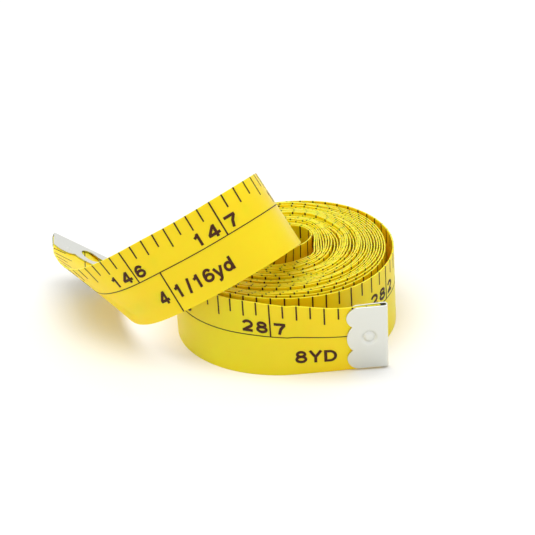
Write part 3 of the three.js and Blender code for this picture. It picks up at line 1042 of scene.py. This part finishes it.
def pen_words(words, height, stretch, gap):
    """Pen strokes of words with the first letter at X = 0 and the baseline on Y = 0, and the words' width"""
    strokes = []
    start = 0.0
    reach = 0.0
    for before, letter in zip(" " + words, words):
        start += PAIR_SPACING.get(before + letter, 0) * height
        low = min(x for stroke in FIGURE_STROKES[letter] for x, y in stroke) - 0.1
        high = max(x for stroke in FIGURE_STROKES[letter] for x, y in stroke) + 0.1
        for stroke in FIGURE_STROKES[letter]:
            strokes.append([(start + (x - low) * stretch * height, y * height) for x, y in stroke])
        reach = start + (high - low) * stretch * height
        start = reach + gap
    return strokes, reach


def finely(points, step):
    """The same line with no piece longer than the step, so that it bends with the tape"""
    fine = [points[0]]
    for here, there in zip(points, points[1:]):
        count = max(1, math.ceil(math.dist(here, there) / step))
        across = there[0] - here[0]
        up = there[1] - here[1]
        for i in range(1, count + 1):
            fine.append((here[0] + across * i / count, here[1] + up * i / count))
    return fine


def pen_lines(points, edges, words, height, stretch, gap, place, align, side, off):
    """Adds the lines of words to a flat print: align -1 ends at the place and 1 starts at it"""
    strokes, width = pen_words(words, height, stretch, gap)
    shift = -width if align == -1 else 0
    for stroke in strokes:
        line = finely(stroke, PEN_STEP)
        closed = math.dist(line[0], line[-1]) < 1e-9
        if closed:
            line.pop()
        first = len(points)
        points += [(place[0] + side * (x + shift), place[1] + y, side * off) for x, y in line]
        edges += [(i, i + 1) for i in range(first, len(points) - 1)]
        if closed:
            edges.append((len(points) - 1, first))


def yard_words(inch):
    """Whole yards and the fraction in lowest terms, as printed on the two sides of a yard line"""
    whole, rest = divmod(round(inch / YARD_STEP), 16)
    if rest == 0:
        return str(whole), "yd"
    shared = math.gcd(rest, 16)
    return str(whole), f"{rest // shared}/{16 // shared}yd"


class TAPE_OT_print_figures(bpy.types.Operator):
    """Prints the figures on the stretches that can be seen"""

    bl_idname = "tape_measure.print_figures"
    bl_label = "Print the figures"

    def execute(self, context):
        sizes, scale, values = print_setup(context)
        length = values["Length"]
        centre = sizes.width * (1 - scale.centre)
        off = sizes.thickness / 2
        points = []
        edges = []
        for side in (1, -1):
            for inch in FIGURED_INCHES:
                words = str(inch if side == 1 else LAST_INCH - inch)
                x = inch_place(inch, length)
                y = centre + scale.figure_rise
                height = scale.figure
                for align, part in ((-1, words[:-1]), (1, words[-1:])):
                    place = (x + side * align * FIGURE_CLEAR, y)
                    gap = ONE_GAP if part.startswith("1") else FIGURE_GAP
                    pen_lines(points, edges, part, height, 1.0, gap, place, align, side, off)
            for inch in yard_marks(side):
                whole, part = yard_words(inch if side == 1 else LAST_INCH - inch)
                x = inch_place(inch, length)
                y = centre - scale.yard_drop
                height = scale.yard_figure
                if whole != "0":
                    place = (x - side * WHOLE_CLEAR, y)
                    pen_lines(points, edges, whole, height, WHOLE_STRETCH, YARD_GAP, place, -1, side, off)
                place = (x + side * PART_CLEAR, y)
                pen_lines(points, edges, part, height, PART_STRETCH, YARD_GAP, place, 1, side, off)
        end = (inch_place(LAST_INCH - END_INCHES, length), END_RISE)
        pen_lines(points, edges, "8YD", scale.end_words, END_STRETCH, END_GAP, end, -1, 1, off)
        figures = link("tape_figures", bpy.data.meshes.new("tape_figures"))
        figures.data.from_pydata(points, edges, [])
        values["Stroke width"] = scale.stroke
        values["Stroke depth"] = 2 * scale.ink
        printed(figures, figure_tree(), values)
        return {"FINISHED"}


def clip_sheet(sizes, clip):
    """The middle of a clip's folded sheet: X out past the tape's end, Y across it, Z off the printed face"""
    wide = sizes.width - 2 * clip.inset
    mouth = clip.hollow - clip.length
    near = sizes.thickness / 2 + CLIP_PLAY + clip.sheet / 2
    far = clip.fold_gap + clip.sheet / 2
    fold = clip.hollow - far - clip.sheet / 2
    # The outer lobes are nearly half circles that end at the plate's edges; a flatter arc joins their cusps
    crown = wide / 2 - LOBE_INSET * clip.lobe_radius
    cusp = crown - math.sqrt(2 * clip.lobe_radius * clip.lobe_depth - clip.lobe_depth**2)
    middle_radius = (cusp**2 + clip.lobe_depth**2) / (2 * clip.lobe_depth)
    side = np.linspace(cusp, wide / 2, LOBE_STEPS)
    columns = np.concatenate((-side[::-1], np.linspace(-cusp, cusp, MIDDLE_STEPS)[1:-1], side))
    from_crown = np.where(np.abs(columns) < cusp, columns, np.abs(columns) - crown)
    radius = np.where(np.abs(columns) < cusp, middle_radius, clip.lobe_radius)
    lip = mouth + radius - np.sqrt(radius**2 - from_crown**2)
    rows = []
    plate = np.linspace(0, 1, PLATE_STEPS)
    for share in plate:
        x = lip + (fold - lip) * share
        z = near + (far - near) * (x - mouth) / (fold - mouth)
        reach = np.hypot(x - (clip.hollow - RING_PLACE * clip.length), columns / RING_WIDENING)
        z = z - clip.ring_depth * np.exp(-(((reach - clip.ring_radius) / RING_GROOVE) ** 2))
        rows.append(np.column_stack((x, columns, z)))
    for turn in np.linspace(math.pi / 2, -math.pi / 2, FOLD_STEPS)[1:-1]:
        x = np.full(len(columns), fold + far * math.cos(turn))
        z = np.full(len(columns), far * math.sin(turn))
        rows.append(np.column_stack((x, columns, z)))
    for share in plate[::-1]:
        x = lip + (fold - lip) * share
        z = -near - (far - near) * (x - mouth) / (fold - mouth)
        reach = np.hypot(x - (clip.hollow - DIMPLE_PLACE * clip.length), columns + DIMPLE_ASIDE)
        z = z - DIMPLE_DEPTH * np.exp(-((reach / DIMPLE_RADIUS) ** 2))
        rows.append(np.column_stack((x, columns, z)))
    points = np.vstack(rows)
    wide_count = len(columns)
    faces = []
    for r in range(len(rows) - 1):
        for c in range(wide_count - 1):
            here = r * wide_count + c
            faces.append((here, here + wide_count, here + wide_count + 1, here + 1))
    mesh = bpy.data.meshes.new("clip")
    mesh.from_pydata(points.tolist(), [], faces)
    return mesh, mouth


class TAPE_OT_press_clips(bpy.types.Operator):
    """Presses a folded clip onto each end of the tape"""

    bl_idname = "tape_measure.press_clips"
    bl_label = "Press the clips"

    def execute(self, context):
        sizes = context.scene.tape_sizes
        clip = context.scene.clip_sizes
        finish = material_of("pressed_tinplate", tinplate_material, context.scene.finish_colours)
        for node, place, yard_way in zip(("inner_end_clip", "outer_end_clip"), tape_ends(sizes), (1, -1)):
            mesh, mouth = clip_sheet(sizes, clip)
            piece = link(node + "_pressed", mesh)
            wall = piece.modifiers.new("wall", "SOLIDIFY")
            wall.thickness = clip.sheet
            wall.offset = 0
            drill_shape = bmesh.new()
            across = Matrix.Translation((mouth + clip.lobe_depth + HOLE_FROM_CUSPS, HOLE_ASIDE, DRILL_HEIGHT))
            bmesh.ops.create_cone(
                drill_shape,
                cap_ends=True,
                segments=48,
                radius1=clip.hole_radius,
                radius2=clip.hole_radius,
                depth=DRILL_DEPTH,
                matrix=across,
            )
            drill_mesh = bpy.data.meshes.new("drill")
            drill_shape.to_mesh(drill_mesh)
            drill_shape.free()
            drill = link("drill", drill_mesh)
            cut = piece.modifiers.new("hole", "BOOLEAN")
            cut.object = drill
            cut.operation = "DIFFERENCE"
            cut.solver = "EXACT"
            soft = piece.modifiers.new("soft_edge", "BEVEL")
            soft.width = SOFT_EDGE
            soft.segments = 2
            soft.limit_method = "ANGLE"
            soft.angle_limit = math.radians(50)
            made_plain(piece)
            bpy.data.objects.remove(drill)
            piece.data.transform(place @ Matrix.Translation((0, -yard_way * clip.proud, 0)))
            outward(piece.data)
            piece.data.materials.clear()
            piece.data.materials.append(finish)
            piece.data.shade_smooth()
            piece.data.set_sharp_from_angle(angle=math.radians(40))
            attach(piece, "root")
            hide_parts(node)
        return {"FINISHED"}


class TAPE_OT_set_stage(bpy.types.Operator):
    """Sets the floor, the soft light and the camera"""

    bl_idname = "tape_measure.set_stage"
    bl_label = "Set the stage"

    def execute(self, context):
        scene = context.scene
        scene.view_settings.view_transform = "Standard"
        # Light passes many times between the yellow turns before it leaves a gap
        scene.cycles.diffuse_bounces = 12
        half = 1.5
        floor_mesh = bpy.data.meshes.new("floor")
        floor_mesh.from_pydata(
            [(-half, -half, 0), (half, -half, 0), (half, half, 0), (-half, half, 0)], [], [(0, 1, 2, 3)]
        )
        floor = link("floor", floor_mesh)
        floor.data.materials.append(floor_material(scene.finish_colours))

        world = bpy.data.worlds.new("soft_studio")
        scene.world = world
        world.use_nodes = True
        tree = world.node_tree
        level = add_node(
            tree, "ShaderNodeMapRange", {"Value": seen_directly(tree), "To Min": 0.68, "To Max": 1.0}
        )
        feed(tree.nodes["Background"], {"Strength": level.outputs[0], "Color": (1, 1, 1, 1)})

        lamp_data = bpy.data.lights.new("overhead_softbox", "AREA")
        lamp_data.shape = "RECTANGLE"
        lamp_data.size = 0.7
        lamp_data.size_y = 0.5
        lamp_data.energy = 4.0
        lamp = bpy.data.objects.new("overhead_softbox", lamp_data)
        lamp.location = (-0.02, -0.1, 0.8)
        aim = Vector((0, 0, 0.02)) - lamp.location
        lamp.rotation_euler = aim.to_track_quat("-Z", "Y").to_euler()
        scene.collection.objects.link(lamp)

        camera_data = bpy.data.cameras.new("camera")
        camera_data.sensor_width = SENSOR
        camera_data.lens = SENSOR * FOCAL_PIXELS / PHOTO_PIXELS
        camera_data.clip_start = 0.01
        camera = bpy.data.objects.new("camera", camera_data)
        ahead = Vector((0, math.cos(CAMERA_ELEVATION), -math.sin(CAMERA_ELEVATION)))
        upward = Vector((0, math.sin(CAMERA_ELEVATION), math.cos(CAMERA_ELEVATION)))
        sideways = Vector((1, 0, 0))
        turned_side = sideways * math.cos(CAMERA_ROLL) - upward * math.sin(CAMERA_ROLL)
        turned_up = sideways * math.sin(CAMERA_ROLL) + upward * math.cos(CAMERA_ROLL)
        aimed = ROLL_AXIS + sideways * AIM_ASIDE * MM + upward * AIM_UP * MM
        basis = Matrix((turned_side, turned_up, -ahead)).transposed().to_4x4()
        camera.matrix_world = Matrix.Translation(aimed - ahead * CAMERA_DISTANCE * MM) @ basis
        scene.collection.objects.link(camera)
        scene.camera = camera
        return {"FINISHED"}


class TAPE_PT_measure(bpy.types.Panel):
    """Lists the steps that build the tape measure"""

    bl_idname = "TAPE_PT_measure"
    bl_label = "Tape measure"
    bl_space_type = "VIEW_3D"
    bl_region_type = "UI"
    bl_category = "Tape measure"

    def draw(self, context):
        for step in STEPS:
            self.layout.operator(step.bl_idname)
        for name, group in GROUPS:
            settings = getattr(context.scene, name)
            for key in group.__annotations__:
                self.layout.prop(settings, key)


GROUPS = (
    ("tape_sizes", TapeSizes),
    ("scale_sizes", ScaleSizes),
    ("clip_sizes", ClipSizes),
    ("finish_colours", FinishColours),
)
STEPS = (
    TAPE_OT_wind,
    TAPE_OT_print_ticks,
    TAPE_OT_print_lines,
    TAPE_OT_print_figures,
    TAPE_OT_press_clips,
    TAPE_OT_set_stage,
)


def register():
    for name, group in GROUPS:
        bpy.utils.register_class(group)
        setattr(bpy.types.Scene, name, bpy.props.PointerProperty(type=group))
    for step in STEPS:
        bpy.utils.register_class(step)
    bpy.utils.register_class(TAPE_PT_measure)


def unregister():
    bpy.utils.unregister_class(TAPE_PT_measure)
    for step in reversed(STEPS):
        bpy.utils.unregister_class(step)
    for name, group in reversed(GROUPS):
        delattr(bpy.types.Scene, name)
        bpy.utils.unregister_class(group)


def main():
    register()
    bpy.ops.tape_measure.wind()
    bpy.ops.tape_measure.print_ticks()
    bpy.ops.tape_measure.print_lines()
    bpy.ops.tape_measure.print_figures()
    bpy.ops.tape_measure.press_clips()
    bpy.data.objects.remove(bpy.data.objects["tape_route"])
    bpy.ops.tape_measure.set_stage()


if __name__ == "__main__":
    main()
